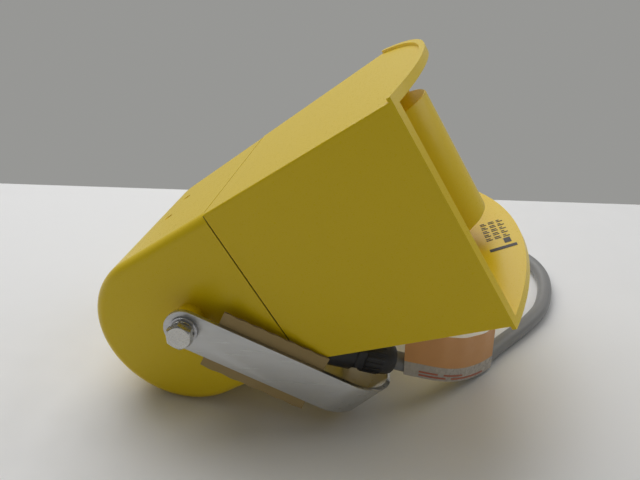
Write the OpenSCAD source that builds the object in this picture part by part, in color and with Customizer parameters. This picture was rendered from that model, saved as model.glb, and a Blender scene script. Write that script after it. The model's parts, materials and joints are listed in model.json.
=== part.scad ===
// Wide-dispersion warning horn on a stainless tilt bracket, lying on its drum and bracket.
// Row frame: +X towards the mouth, +Y to the horn's left, +Z up, resting on Z = 0.

/* [Horn body] */
// Radius of the rounded rear drum
drum_r = 50; // [45:1:55]
// Half of the housing's width, at the drum's centre
half_w = 77.8; // [70:0.1:85]
// Outward slant of each side wall, degrees
side_flare = 10.5; // [6:0.5:13]
// Upward slant of the top plate from the body's middle plane, degrees
top_slope = 3; // [0:0.5:5]
// Downward slant of the bell's bottom plate, degrees
bottom_slope = 10; // [4:0.5:12]
// Distance from the drum's centre to the seam between housing and bell
seam_a = 63; // [58:1:70]
// Depth of the housing's underside at the seam
seam_drop = 45; // [40:1:48]
// Distance from the drum's centre to the side walls' mouth edge
mouth_a = 173; // [150:1:200]
// How far the top and bottom lips bow out past the mouth edge
lip_bow = 25; // [10:1:35]
// Wall thickness of the shells
wall = 3; // [2:0.5:4]
// Wall thickness of the side walls at the mouth
mouth_wall = 6; // [4:0.5:8]
// Height of the raised rim along each lip
rim_h = 2; // [1:0.5:3]
// Upward pitch of the body as it lies, degrees
pitch = 31; // [30:1:32]

/* [Bracket] */
// Width of the bracket's arms
arm_w = 22; // [18:1:26]
// Thickness of the bracket's sheet
sheet_t = 2.5; // [2:0.5:3]
// Distance from the middle plane to the outer face of an arm
arm_y = 96; // [95:0.5:98]
// Distance from the pivot to the start of the fold, square to the base
fold_h = 82.5; // [80:0.5:86]
// Outer radius of the fold
fold_r = 22; // [18:1:24]
// Lean of the arms from the base's width direction, degrees
arm_lean = 66; // [62:1:70]
// Slope of the base plate as it lies, degrees
base_tilt = 41; // [39:1:43]
// Pivot's distance ahead of the drum's centre
pivot_a = 18.5; // [16:0.5:20]
// Pivot's height above the body's middle plane
pivot_c = 6; // [4:0.5:8]
// Radius of the pivot bolt's shank
bolt_r = 4; // [4:0.5:5]
// Across-flats size of the pivot bolt's head
head_af = 13; // [13:1:16]

/* [Reflex parts] */
// Radius of the reflex island's rounded nose
island_r = 36; // [30:1:40]
// Height of the reflex island
island_h = 82; // [70:1:84]
// Front of the island's nose, from the drum's centre
island_a = 186.5; // [180:0.5:188]

/* [Driver and electronics] */
// Radius of the driver's magnet
magnet_r = 35; // [30:1:36]
// Radius of the voice coil
coil_r = 13; // [12:0.5:14]
// Width of the circuit board
board_w = 120; // [100:2:124]

/* [Cable] */
// Diameter of the cable
cable_d = 11; // [10:0.5:11]

/* [Hidden] */

$fn = 96;
eps = 0.01;
drum_x = -78;                       // the drum's centre along X, which centres the whole on the origin
seam_gap = 0.8;                     // space that the gasket fills at the seam
side_tan = tan(side_flare);
bottom_tan = tan(bottom_slope);
tip_a = mouth_a + lip_bow;
mouth_half = half_w + mouth_a * side_tan;
lip_r = (mouth_half * mouth_half + lip_bow * lip_bow) / (2 * lip_bow);
lip_a = tip_a - lip_r;              // centre of the lip's arc
reach = 300;                        // longer than any wall, for cutting shapes

// Top and bottom lines of the body's side view, at a distance a from the drum's centre
function top_c(a) = (drum_r + a * sin(top_slope)) / cos(top_slope);
function bottom_c(a) = -seam_drop - (a - seam_a) * bottom_tan;
function half_width(a) = half_w + a * side_tan;

// Tangent from the underside's corner at the seam back to the drum
corner_ang = atan2(-seam_drop, seam_a);
corner_dist = sqrt(seam_a * seam_a + seam_drop * seam_drop);
tangent_ang = corner_ang - acos(drum_r / corner_dist);

pivot_x = drum_x + pivot_a * cos(pitch) - pivot_c * sin(pitch);
pivot_z = drum_r + pivot_a * sin(pitch) + pivot_c * cos(pitch);
play = 0.05;                        // space on each side of a moving arm
inner_washer_t = 0.5;
boss_y = arm_y - sheet_t - play - inner_washer_t;   // outer face of a pivot boss
base_h = fold_h + fold_r;           // distance from the pivot to the base's outer face
base_rear = (base_h * cos(base_tilt) - pivot_z) / sin(base_tilt);
lean_tan = tan(90 - arm_lean);
arm_front = fold_h * lean_tan + arm_w / (2 * sin(arm_lean));
arm_back = fold_h * lean_tan - arm_w / (2 * sin(arm_lean));
fold_shift = fold_r * lean_tan;     // how far the strip moves forward through the fold
base_mid = 55;                      // half-length of the base's wide middle

gland_yaw = 15;
gland_dip = 20;
gland_l = 26;                       // length of the gland outside its boss
gland_tip = [48, -72, 36.5];         // where the cable leaves the gland
gland_bore = cable_d / 2;
thread_r = 6.5;                     // radius of the gland's thread
duct = [72, -77, -37];              // where the gland's bore meets the duct into the housing
duct_r = 4;

// The free cable's route, from the gland's mouth to its bare end
route = [[48, -72, 36.5], [59.5, -68.5, 31.5], [70.5, -62.5, 25], [80.5, -54.5, 18.5], [90.5, -44.5, 13],
         [101, -32.5, 8.6], [111, -20, 6.3], [121, -7, 5.6], [132, 6, 5.6], [143, 19, 5.6], [154, 33, 5.6], [165, 50, 5.6],
         [173, 69, 5.6], [179, 90, 5.6], [182, 112, 5.6], [180, 134, 5.6], [172, 154, 5.6], [158, 169, 5.6],
         [138, 178, 5.6], [115, 181, 5.6], [90, 181, 5.6], [65, 180, 5.6], [40, 179, 5.6], [16, 178, 5.6]];

// Catmull-Rom point between route points i and i + 1
function pick(i) = route[min(max(i, 0), len(route) - 1)];
function spline(i, t) =
    let (a = pick(i - 1), b = pick(i), c = pick(i + 1), d = pick(i + 2))
    0.5 * (2 * b + (c - a) * t + (2 * a - 5 * b + 4 * c - d) * t * t + (3 * b - a - 3 * c + d) * t * t * t);
ring_steps = 2;
last_ring = ring_steps * (len(route) - 1);
function ring_centre(k) =
    k >= last_ring ? pick(len(route)) : spline(floor(k / ring_steps), (k % ring_steps) / ring_steps);
function unit(v) = v / norm(v);
gland_dir = [cos(gland_dip) * cos(gland_yaw), cos(gland_dip) * sin(gland_yaw), -sin(gland_dip)];
end_dir = unit(route[len(route) - 1] - route[len(route) - 2]);
function heading(k) =
    k == 0 ? gland_dir : k == last_ring ? end_dir : unit(ring_centre(k + 1) - ring_centre(k - 1));
function across(k) = unit(cross([0, 0, 1], heading(k)));
function ring_point(k, r, ang) =
    ring_centre(k) + r * cos(ang) * across(k) + r * sin(ang) * cross(heading(k), across(k));

// Faces of a closed tube of rings with n points each
function tube_faces(rings, n) =
    concat([[for (j = [0:n - 1]) j]],
           [for (k = [0:rings - 2], j = [0:n - 1])
            [k * n + j, (k + 1) * n + j, (k + 1) * n + (j + 1) % n, k * n + (j + 1) % n]],
           [[for (j = [n - 1:-1:0]) (rings - 1) * n + j]]);

// Places children, drawn about the drum's centre with the body level, where the body lies
module on_body() {
    translate([drum_x, 0, drum_r]) rotate([0, -pitch, 0]) children();
}

// Turns children so that their Z runs forward along the body, from a distance a
module along(a, y = 0, c = 0) {
    on_body() translate([a, y, c]) rotate([0, 90, 0]) children();
}

// Extrudes a side view, drawn as (a, c), across the body
module across_body(w = reach) {
    rotate([90, 0, 0]) linear_extrude(height = w, center = true) children();
}

module on_both_sides() {
    for (s = [-1, 1]) scale([1, s, 1]) children();
}

// Places children about the pivot with the base plate level and underneath
module on_bracket() {
    translate([pivot_x, 0, pivot_z]) rotate([0, -base_tilt, 0]) children();
}

// Turns children so that their Z runs out of the gland, ending at its tip
module on_gland() {
    translate(gland_tip) rotate([0, 90 + gland_dip, gland_yaw]) translate([0, 0, -gland_l]) children();
}

// Places children's Z along +Y at the pivot, from a distance y
module at_pivot(y) {
    on_body() translate([pivot_a, y, pivot_c]) rotate([-90, 0, 0]) children();
}

// Side view of the rear housing, set in by t
module housing_side(t) {
    circle(r = drum_r - t);
    polygon([[0, 0],
             [-(drum_r - t) * sin(top_slope), (drum_r - t) * cos(top_slope)],
             [seam_a, top_c(seam_a) - t],
             [seam_a, -seam_drop + t],
             [(drum_r - t) * cos(tangent_ang), (drum_r - t) * sin(tangent_ang)]]);
}

module slanted_plan(a0, a1, t0, t1) {
    polygon([[a0, -half_width(a0) + t0], [a1, -half_width(a1) + t1],
             [a1, half_width(a1) - t1], [a0, half_width(a0) - t0]]);
}

module housing_solid(t, front) {
    intersection() {
        across_body() housing_side(t);
        linear_extrude(height = reach, center = true) slanted_plan(-drum_r - t, front, t, t);
    }
}

pivot_boss_r = 8;
insert_r = 5.5;
board_y = [-50, 50];                // places of the circuit board's four screws
board_c = [-26, 26];
seam_y = [-62, 62];                 // places of the four screws through the seam
seam_c = [-39, 45];
seam_screw_r = 2;

// Posts for the circuit board and for the seam's screws, cut to the shell's inside
module housing_posts() {
    intersection() {
        housing_solid(1, seam_a - seam_gap);
        union() {
            for (y = board_y, c = board_c)
                translate([-drum_r, y, c]) rotate([0, 90, 0]) cylinder(h = drum_r - 24, r = 5);
            for (y = seam_y, c = seam_c)
                translate([seam_a - 18, y, c]) rotate([0, 90, 0]) cylinder(h = 18, r = 6);
        }
    }
}

module rear_housing() color([0.93, 0.76, 0.05]) {
    on_body() difference() {
        union() {
            difference() {
                housing_solid(0, seam_a - seam_gap);
                housing_solid(wall, seam_a + 1);
            }
            on_both_sides() translate([pivot_a, 0, pivot_c]) rotate([-90, 0, 0])
                translate([0, 0, half_w - 12]) cylinder(h = boss_y - half_w + 12, r = pivot_boss_r);
            housing_posts();
        }
        on_both_sides() translate([pivot_a, 0, pivot_c]) rotate([-90, 0, 0])
            translate([0, 0, half_w - 12 - eps]) cylinder(h = 40, r = insert_r);
        for (y = board_y, c = board_c)
            translate([-34, y, c]) rotate([0, 90, 0]) cylinder(h = 20, r = 1.5);
        for (y = seam_y, c = seam_c)
            translate([seam_a - 16, y, c]) rotate([0, 90, 0]) cylinder(h = 20, r = seam_screw_r);
        for (y = [-14, 26]) translate([8, y, top_c(8) - 1.2]) cylinder(h = 5, r = 3);
    }
}

module seam_gasket() color([0.12, 0.12, 0.12]) {
    on_body() intersection() {
        translate([seam_a - seam_gap, -reach / 2, -reach / 2]) cube([seam_gap, reach, reach]);
        difference() {
            housing_solid(0.8, seam_a + 1);
            housing_solid(wall, seam_a + 2);
        }
    }
}

// Screws that draw the bell onto the housing, driven from inside the bell's mouth
module housing_screws() color([0.7, 0.7, 0.72]) {
    for (y = seam_y, c = seam_c) {
        along(seam_a - 16, y, c) cylinder(h = 16 + wall, r = seam_screw_r);
        along(seam_a + wall, y, c) cylinder(h = 2.6, r = 4);
    }
}

// Plan of the bell with its bowed lips
module lip_plan(t0, t1, inset) {
    intersection() {
        slanted_plan(seam_a, tip_a + 5, t0, t1);
        translate([lip_a, 0]) circle(r = lip_r - inset, $fn = 360);
    }
}

module bell_side(top_in, bottom_in, a0, a1) {
    polygon([[a0, top_c(a0) - top_in], [a1, top_c(a1) - top_in],
             [a1, bottom_c(a1) + bottom_in], [a0, bottom_c(a0) + bottom_in]]);
}

// A raised rim along both lips
module lip_rims() {
    intersection() {
        across_body() bell_side(-rim_h, -rim_h, mouth_a - 2, tip_a + 5);
        linear_extrude(height = reach, center = true) difference() {
            lip_plan(0, 0, 0);
            lip_plan(-5, -5, 3.5);
        }
    }
}

module bell_cavity() {
    intersection() {
        across_body() bell_side(wall, wall - 0.2, seam_a + wall, tip_a + 8);
        linear_extrude(height = reach, center = true)
            slanted_plan(seam_a + wall, tip_a + 8, wall, mouth_wall);
    }
}

// The bell's outer shape, without its cavity and rims
module bell_block() {
    intersection() {
        across_body() bell_side(0, 0, seam_a, tip_a + 5);
        linear_extrude(height = reach, center = true) lip_plan(0, 0, 0);
    }
}

module horn_bell() color([0.95, 0.78, 0.05]) {
    difference() {
        union() {
            on_body() difference() {
                union() {
                    bell_block();
                    lip_rims();
                }
                bell_cavity();
            }
            on_body() translate([seam_a + 1, duct[1] - 8, duct[2] - 7]) cube([16, 16, 13]);
        }
        along(seam_a - 1) cylinder(h = wall + 2, r = 14);
        for (k = [0:3]) on_body() rotate([90 * k + 45, 0, 0]) translate([seam_a - 1, 0, 33])
            rotate([0, 90, 0]) cylinder(h = wall + 2, r = 2);
        for (y = seam_y, c = seam_c) along(seam_a - 1, y, c) cylinder(h = wall + 2, r = seam_screw_r + 0.2);
        on_gland() translate([0, 0, -20]) cylinder(h = 21, r = thread_r);
        along(seam_a - 1, duct[1], duct[2]) cylinder(h = duct[0] - seam_a + 1, r = duct_r);
    }
}

module driver_flange() color([0.62, 0.63, 0.65]) {
    difference() {
        union() {
            along(seam_a - 7) cylinder(h = 7, r = 39);
            along(seam_a - 1) cylinder(h = 7, r = 13.9);
        }
        along(seam_a - 8) cylinder(h = 20, r = 11);
        along(seam_a - 8) cylinder(h = 5, r = 24);
        for (k = [0:3]) on_body() rotate([90 * k + 45, 0, 0]) translate([seam_a - 8, 0, 33])
            rotate([0, 90, 0]) cylinder(h = 9, r = 2.1);
    }
}

module driver_screws() color([0.7, 0.7, 0.72]) {
    for (k = [0:3]) on_body() rotate([90 * k + 45, 0, 0]) translate([0, 0, 33]) {
        translate([seam_a - 7, 0, 0]) rotate([0, 90, 0]) cylinder(h = 9.5, r = 2);
        translate([seam_a - 10, 0, 0]) rotate([0, 90, 0]) cylinder(h = 3, r = 3.6);
    }
}

module diaphragm() color([0.75, 0.62, 0.4]) {
    difference() {
        union() {
            along(seam_a - 7.6) cylinder(h = 0.6, r = 22);
            along(seam_a - 7.6) cylinder(h = 3.6, r1 = coil_r + 1, r2 = 7);
        }
        along(seam_a - 7.7) cylinder(h = 3, r1 = coil_r, r2 = 6.5);
    }
}

module voice_coil() color([0.75, 0.4, 0.2]) {
    difference() {
        along(seam_a - 18) cylinder(h = 10.4, r = coil_r + 0.6);
        along(seam_a - 19) cylinder(h = 13, r = coil_r);
    }
}

module top_plate() color([0.55, 0.56, 0.58]) {
    difference() {
        along(seam_a - 16) cylinder(h = 6, r = magnet_r);
        along(seam_a - 17) cylinder(h = 8, r = coil_r + 1.2);
        for (k = [0:3]) on_body() rotate([90 * k + 45, 0, 0]) translate([seam_a - 17, 0, 33])
            rotate([0, 90, 0]) cylinder(h = 8, r = 4);
    }
    difference() {
        along(seam_a - 10) cylinder(h = 3, r = 29);
        along(seam_a - 11) cylinder(h = 5, r = 23);
    }
}

module magnet() color([0.18, 0.18, 0.19]) {
    difference() {
        along(seam_a - 31) cylinder(h = 15, r = magnet_r);
        along(seam_a - 32) cylinder(h = 17, r = 18);
    }
}

module yoke() color([0.55, 0.56, 0.58]) {
    along(seam_a - 37) cylinder(h = 6, r = magnet_r - 3);
    along(seam_a - 37) cylinder(h = 26, r = coil_r - 0.9);
}

module inner_horn() color([0.93, 0.76, 0.05]) {
    difference() {
        union() {
            along(seam_a + wall) cylinder(h = 4, r = 26);
            along(seam_a + wall) cylinder(h = 56, r1 = 16, r2 = 24);
        }
        along(seam_a + wall - 1) cylinder(h = 58, r1 = 14, r2 = 22);
    }
}

island_c = (top_c(island_a) + bottom_c(island_a)) / 2;
island_back = 100;

module island_plan(t, back) {
    translate([island_a - island_r, 0]) circle(r = island_r - t);
    translate([back, -island_r + t]) square([island_a - island_r - back, 2 * (island_r - t)]);
}

module reflex_island() color([0.95, 0.78, 0.05]) {
    on_body() translate([0, 0, island_c - island_h / 2]) difference() {
        linear_extrude(height = island_h) island_plan(0, island_back);
        translate([0, 0, 2.5]) linear_extrude(height = island_h - 5) island_plan(2.5, island_back - 1);
    }
}

// Ribs that carry the island from the bell's top and bottom plates
module island_vanes() color([0.93, 0.76, 0.05]) {
    on_body() {
        across_body(4) polygon([[112, top_c(112) - wall], [148, top_c(148) - wall],
                                [142, island_c + island_h / 2], [112, island_c + island_h / 2]]);
        across_body(4) polygon([[112, bottom_c(112) + wall - 0.2], [148, bottom_c(148) + wall - 0.2],
                                [142, island_c - island_h / 2], [112, island_c - island_h / 2]]);
    }
}

board_a = -10;
board_t = 1.6;

module circuit_board() color([0.1, 0.4, 0.2]) {
    on_body() difference() {
        translate([board_a, -board_w / 2, -32]) cube([board_t, board_w, 64]);
        for (y = board_y, c = board_c)
            translate([board_a - 1, y, c]) rotate([0, 90, 0]) cylinder(h = 4, r = 1.7);
    }
}

module board_standoffs() color([0.8, 0.65, 0.3]) {
    for (y = board_y, c = board_c) difference() {
        along(-24, y, c) cylinder(h = board_a + 24, r = 3, $fn = 6);
        along(-25, y, c) cylinder(h = 30, r = 1.5);
    }
}

module board_screws() color([0.7, 0.7, 0.72]) {
    for (y = board_y, c = board_c) {
        along(board_a - 8, y, c) cylinder(h = 8 + board_t, r = 1.45);
        along(board_a + board_t, y, c) cylinder(h = 2, r = 2.8);
    }
}

module capacitors() color([0.15, 0.2, 0.35]) {
    along(board_a + board_t, 40, 10) cylinder(h = 20, r = 6.3);
    along(board_a + board_t, 40, -8) cylinder(h = 20, r = 6.3);
    along(board_a + board_t, 24, 14) cylinder(h = 12, r = 4);
}

module transformer() color([0.35, 0.35, 0.36]) {
    on_body() {
        translate([board_a + board_t, -42, -14]) cube([24, 28, 28]);
        translate([board_a + board_t + 5, -46, -9]) cube([14, 36, 18]);
    }
}

module heat_sink() color([0.75, 0.76, 0.78]) {
    on_body() translate([board_a + board_t, -8, -28]) {
        cube([2, 26, 16]);
        for (k = [0:5]) translate([2 - eps, 5 * k, 0]) cube([14, 1.2, 16]);
    }
}

module terminal_block() color([0.15, 0.3, 0.55]) {
    on_body() difference() {
        translate([board_a + board_t, -44, -31]) cube([12, 30, 9]);
        for (k = [0:4]) translate([board_a + board_t + 6, -40 + 5.5 * k, -29])
            rotate([0, 90, 0]) cylinder(h = 8, r = 1.6);
    }
}

module trimmer_body() color([0.12, 0.25, 0.6]) {
    difference() {
        on_body() translate([board_a + board_t, -5, 17]) cube([5, 10, 10]);
        along(board_a + board_t + 2, 0, 22) cylinder(h = 5, r = 3.55);
    }
}

module trimmer_rotor() color([0.9, 0.9, 0.88]) {
    difference() {
        along(board_a + board_t + 2, 0, 22) cylinder(h = 4.5, r = 3.5);
        on_body() translate([board_a + board_t + 5.5, -0.4, 19]) cube([2, 0.8, 6]);
    }
}

module pivot_inserts() color([0.8, 0.65, 0.3]) {
    on_both_sides() difference() {
        at_pivot(half_w - 12) cylinder(h = boss_y - half_w + 12, r = insert_r);
        at_pivot(half_w - 13) cylinder(h = 60, r = bolt_r);
    }
}

washer_t = 1.6;
spring_t = 2;
head_h = 5.3;

module pivot_bolts() color([0.78, 0.78, 0.79]) {
    on_both_sides() {
        at_pivot(arm_y - 24) cylinder(h = 24 + play + washer_t + spring_t, r = bolt_r);
        at_pivot(arm_y + play + washer_t + spring_t)
            cylinder(h = head_h, r = head_af / sqrt(3), $fn = 6);
    }
}

module washer_ring(y, h, r) {
    difference() {
        at_pivot(y) cylinder(h = h, r = r);
        at_pivot(y - 1) cylinder(h = h + 2, r = bolt_r + 0.2);
    }
}

module spring_washers() color([0.7, 0.7, 0.72]) {
    on_both_sides() washer_ring(arm_y + play + washer_t, spring_t, 6.8);
}

module flat_washers() color([0.75, 0.75, 0.76]) {
    on_both_sides() {
        washer_ring(arm_y + play, washer_t, 8);
        washer_ring(boss_y, inner_washer_t, 8);
    }
}

// An arm's outline seen from the side, carried down by extra depth past the fold's start
module arm_side(extra) {
    circle(r = arm_w / 2);
    polygon([[arm_w / 2 * sin(arm_lean), arm_w / 2 * cos(arm_lean)],
             [arm_front + extra * lean_tan, -fold_h - extra],
             [arm_back + extra * lean_tan, -fold_h - extra],
             [-arm_w / 2 * sin(arm_lean), -arm_w / 2 * cos(arm_lean)]]);
}

// A tall shape with two rounded lower corners, drawn as (y, height), set in by t
module trough(t) {
    translate([-arm_y + t, -fold_h]) square([2 * (arm_y - t), fold_h + arm_w]);
    translate([-arm_y + fold_r, -base_h + t]) square([2 * (arm_y - fold_r), fold_r - t]);
    for (s = [-1, 1]) translate([s * (arm_y - fold_r), -fold_h]) circle(r = fold_r - t);
}

module bracket() color([0.72, 0.72, 0.72]) {
    on_bracket() difference() {
        intersection() {
            translate([-reach / 2, 0, 0]) rotate([90, 0, 90]) linear_extrude(height = reach) difference() {
                trough(0);
                trough(sheet_t);
            }
            union() {
                on_both_sides() translate([0, arm_y + 1, 0]) rotate([90, 0, 0])
                    linear_extrude(height = fold_r + 1) arm_side(fold_r + 1);
                translate([0, 0, -base_h - 1]) linear_extrude(height = sheet_t + 2) base_plan();
            }
        }
        on_both_sides() translate([0, arm_y - 10, 0]) rotate([-90, 0, 0])
            cylinder(h = 12, r = bolt_r + 0.05);
        translate([base_hole_f, 0, -base_h - 1]) cylinder(h = sheet_t + 2, r = 4.25);
        for (s = [-1, 1]) translate([base_hole_f, 30 * s, -base_h - 1])
            cylinder(h = sheet_t + 2, r = 3.25);
    }
}

base_hole_f = (base_rear + arm_front + fold_shift) / 2;

module base_plan() {
    end_y = arm_y - fold_r + 3;
    polygon([[arm_front + fold_shift, -end_y], [arm_front + fold_shift, end_y],
             [arm_back + fold_shift, end_y], [base_rear, base_mid],
             [base_rear, -base_mid], [arm_back + fold_shift, -end_y]]);
}

pad_t = 1.2;
pad_w = 38;
pad_l = 62;
pad_start = 16;

// A flat strip of board between an arm and the body
module packing_pad(s) {
    on_bracket() scale([1, s, 1]) translate([0, arm_y - sheet_t, 0]) rotate([90, arm_lean, 0])
        translate([pad_start, -pad_w / 2, 0]) cube([pad_l, pad_w, pad_t]);
}

module packing_pad_near() color([0.55, 0.42, 0.28]) packing_pad(-1);

module packing_pad_far() color([0.55, 0.42, 0.28]) packing_pad(1);

// A slanted socket under the bell that the gland screws into
module gland_adapter() color([0.08, 0.08, 0.08]) {
    difference() {
        intersection() {
            on_gland() translate([0, 0, -22]) cylinder(h = 22, r = 10.5);
            on_body() linear_extrude(height = reach, center = true) slanted_plan(seam_a, tip_a, 0, 0);
        }
        on_body() bell_block();
        on_gland() translate([0, 0, -20]) cylinder(h = 21, r = thread_r);
    }
}

module gland_washer() color([0.25, 0.25, 0.25]) {
    on_gland() difference() {
        cylinder(h = 1.5, r = 9.5);
        translate([0, 0, -1]) cylinder(h = 4, r = thread_r);
    }
}

module gland_body() color([0.08, 0.08, 0.08]) {
    on_gland() difference() {
        union() {
            translate([0, 0, -14]) cylinder(h = 20, r = thread_r);
            translate([0, 0, 1.5]) cylinder(h = 5, r = 10.5, $fn = 6);
            translate([0, 0, 1.5]) cylinder(h = 14.5, r = 8.5);
        }
        translate([0, 0, -15]) cylinder(h = 40, r = gland_bore);
        translate([0, 0, 8]) cylinder(h = 10, r = 7.5);
    }
}

module gland_seal() color([0.2, 0.2, 0.2]) {
    on_gland() difference() {
        translate([0, 0, 8]) cylinder(h = 10, r = 7.5);
        translate([0, 0, 7]) cylinder(h = 14, r = gland_bore);
    }
}

module gland_nut() color([0.08, 0.08, 0.08]) {
    on_gland() difference() {
        union() {
            translate([0, 0, 6.5]) cylinder(h = 12, r = 10.4);
            translate([0, 0, 18.5]) cylinder(h = gland_l - 18.5, r1 = 10.4, r2 = 7);
        }
        translate([0, 0, 6]) cylinder(h = 12, r = 8.5);
        translate([0, 0, 17]) cylinder(h = 12, r = gland_bore);
    }
}

// The lead's way inside the housing, from the duct to the terminal block, in body coordinates
inner_route = [[71, -77, -37], [52, -76, -37], [40, -72, -36], [28, -63, -34], [18, -52, -31],
               [10, -43, -29], [6, -36, -27.5]];
inner_sides = 8;
inner_r = 3;

// The sheathed end held in the gland, and the cores that run on to the terminal block
module inner_lead() color([0.5, 0.5, 0.5]) {
    n = inner_sides;
    rings = len(inner_route);
    on_gland() translate([0, 0, -14]) cylinder(h = gland_l + 14, r = gland_bore);
    on_body() polyhedron(points = [for (k = [0:rings - 1], j = [0:n - 1]) inner_point(k, 360 * j / n)],
                         faces = tube_faces(rings, n));
}

function inner_heading(k) =
    unit(inner_route[min(k + 1, len(inner_route) - 1)] - inner_route[max(k - 1, 0)]);
function inner_across(k) = unit(cross([0, 0, 1], inner_heading(k)));
function inner_point(k, ang) =
    inner_route[k] + inner_r * cos(ang) * inner_across(k)
    + inner_r * sin(ang) * cross(inner_heading(k), inner_across(k));

cable_sides = 10;

// A closed tube swept along the route's rings
module cable() color([0.5, 0.5, 0.5]) {
    n = cable_sides;
    polyhedron(points = [for (k = [0:last_ring], j = [0:n - 1]) ring_point(k, cable_d / 2, 360 * j / n)],
               faces = tube_faces(last_ring + 1, n));
}

core_r = 0.9;
core_l = 30;
core_pitch = 2;
core_fan = 5;

module cable_cores() color([0.75, 0.2, 0.15]) {
    translate(route[len(route) - 1]) rotate([0, 0, atan2(end_dir[1], end_dir[0])])
        for (k = [-2:2]) translate([0.2, core_pitch * k, -1.5]) rotate([0, 90, core_fan * k])
            cylinder(h = core_l, r = core_r);
}

tag_first = 1;
tag_last = 12;
tag_up = 20;
tag_down = 5;
tag_t = 0.8;

// A point on the flag's inner face, beside ring k of the cable and up from its centre
function flag_point(k, out, up) = ring_centre(k) - across(k) * (cable_d / 2 + 0.2 + out) + [0, 0, up];

// A folded film flag that wraps the cable and stands up from it
module cable_tag() color([0.9, 0.75, 0.6]) {
    points = [for (k = [tag_first:tag_last]) each
              [flag_point(k, 0, -tag_down), flag_point(k, 0, tag_up),
               flag_point(k, tag_t, tag_up), flag_point(k, tag_t, -tag_down)]];
    polyhedron(points = points, faces = tube_faces(tag_last - tag_first + 1, 4));
}

label_t = 0.3;

// A thin label on the lower lip's inner face
module lip_label() color([0.1, 0.1, 0.1]) {
    lift = wall - 0.2;
    on_body() translate([0, -4.5, 0]) across_body(53)
        polygon([[176, bottom_c(176) + lift], [193, bottom_c(193) + lift],
                 [193, bottom_c(193) + lift + label_t], [176, bottom_c(176) + lift + label_t]]);
}

rear_housing();
horn_bell();
seam_gasket();
housing_screws();
driver_flange();
driver_screws();
diaphragm();
voice_coil();
top_plate();
magnet();
yoke();
inner_horn();
reflex_island();
island_vanes();
circuit_board();
board_standoffs();
board_screws();
capacitors();
transformer();
heat_sink();
terminal_block();
trimmer_body();
trimmer_rotor();
pivot_inserts();
pivot_bolts();
spring_washers();
flat_washers();
bracket();
packing_pad_near();
packing_pad_far();
gland_adapter();
gland_washer();
gland_body();
gland_seal();
gland_nut();
inner_lead();
cable();
cable_cores();
cable_tag();
lip_label();
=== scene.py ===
import bpy
import bmesh
import json
import math
from mathutils import Matrix, Vector


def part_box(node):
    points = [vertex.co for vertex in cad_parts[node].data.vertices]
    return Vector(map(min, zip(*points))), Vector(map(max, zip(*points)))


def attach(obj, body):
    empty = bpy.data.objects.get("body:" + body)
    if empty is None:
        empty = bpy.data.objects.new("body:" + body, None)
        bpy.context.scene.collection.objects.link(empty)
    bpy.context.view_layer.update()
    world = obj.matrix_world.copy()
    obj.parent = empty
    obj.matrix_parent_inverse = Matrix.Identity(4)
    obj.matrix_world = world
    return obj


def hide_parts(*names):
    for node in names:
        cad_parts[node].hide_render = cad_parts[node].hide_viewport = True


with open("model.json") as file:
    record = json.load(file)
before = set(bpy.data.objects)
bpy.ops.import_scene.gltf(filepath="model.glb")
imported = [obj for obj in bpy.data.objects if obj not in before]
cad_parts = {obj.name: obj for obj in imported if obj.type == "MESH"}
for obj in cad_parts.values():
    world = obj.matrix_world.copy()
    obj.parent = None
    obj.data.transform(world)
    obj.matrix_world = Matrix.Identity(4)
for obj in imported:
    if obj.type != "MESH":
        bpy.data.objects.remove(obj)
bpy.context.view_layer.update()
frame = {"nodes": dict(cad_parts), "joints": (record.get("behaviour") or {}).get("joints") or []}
cad = frame["nodes"]
joints = {j["name"]: j for j in frame["joints"]}
mm = 0.001

# The body's own axes: forward to the mouth, left, and up square to both
forward = Vector(joints["diaphragm_stroke"]["axis"]).normalized()
left = Vector((0, 1, 0))
up = forward.cross(left).normalized()
drumRadius = 0.05
drumCentre = Vector((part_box("rear_housing")[0].x + drumRadius, 0, drumRadius))
pivot = Vector(joints["bracket_tilt"]["pos_m"])
bodyFrame = Matrix((forward, left, up)).transposed().to_4x4()
bodyFrame.translation = drumCentre
toBody = bodyFrame.inverted()


def bodyPoint(a, y, c):     # metres forward of the drum's centre, to its left and up
    return drumCentre + forward * a + left * y + up * c


view = {"place": (0.03197, -0.36135, 0.23167), "tilt": 67.18, "turn": 5.07, "lens": 33.18, "sensor": 36}


def addCamera():
    data = bpy.data.cameras.new("camera")
    data.lens = view["lens"]
    data.sensor_width = view["sensor"]
    data.clip_start = 0.01
    cameraObject = bpy.data.objects.new("camera", data)
    cameraObject.location = view["place"]
    cameraObject.rotation_euler = (math.radians(view["tilt"]), 0, math.radians(view["turn"]))
    bpy.context.scene.collection.objects.link(cameraObject)
    bpy.context.scene.camera = cameraObject


addCamera()
bpy.context.scene.view_settings.view_transform = "Standard"
print("camera placed")


def objectFrom(name, mesh):
    made = bpy.data.objects.new(name, mesh)
    bpy.context.scene.collection.objects.link(made)
    return made


def pieceFrom(name, verts, faces, smooth=True):
    mesh = bpy.data.meshes.new(name)
    mesh.from_pydata([tuple(v) for v in verts], [], faces)
    mesh.validate()
    mesh.update()
    made = objectFrom(name, mesh)
    outwards(made)
    if smooth:
        shadeByAngle(made)
    return made


def outwards(piece):
    bm = bmesh.new()
    bm.from_mesh(piece.data)
    bmesh.ops.remove_doubles(bm, verts=bm.verts, dist=1e-6)
    bmesh.ops.recalc_face_normals(bm, faces=bm.faces)
    bm.to_mesh(piece.data)
    bm.free()


def shadeByAngle(piece, degrees=32):
    mesh = piece.data
    mesh.polygons.foreach_set("use_smooth", [True] * len(mesh.polygons))
    mesh.set_sharp_from_angle(angle=math.radians(degrees))


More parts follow.
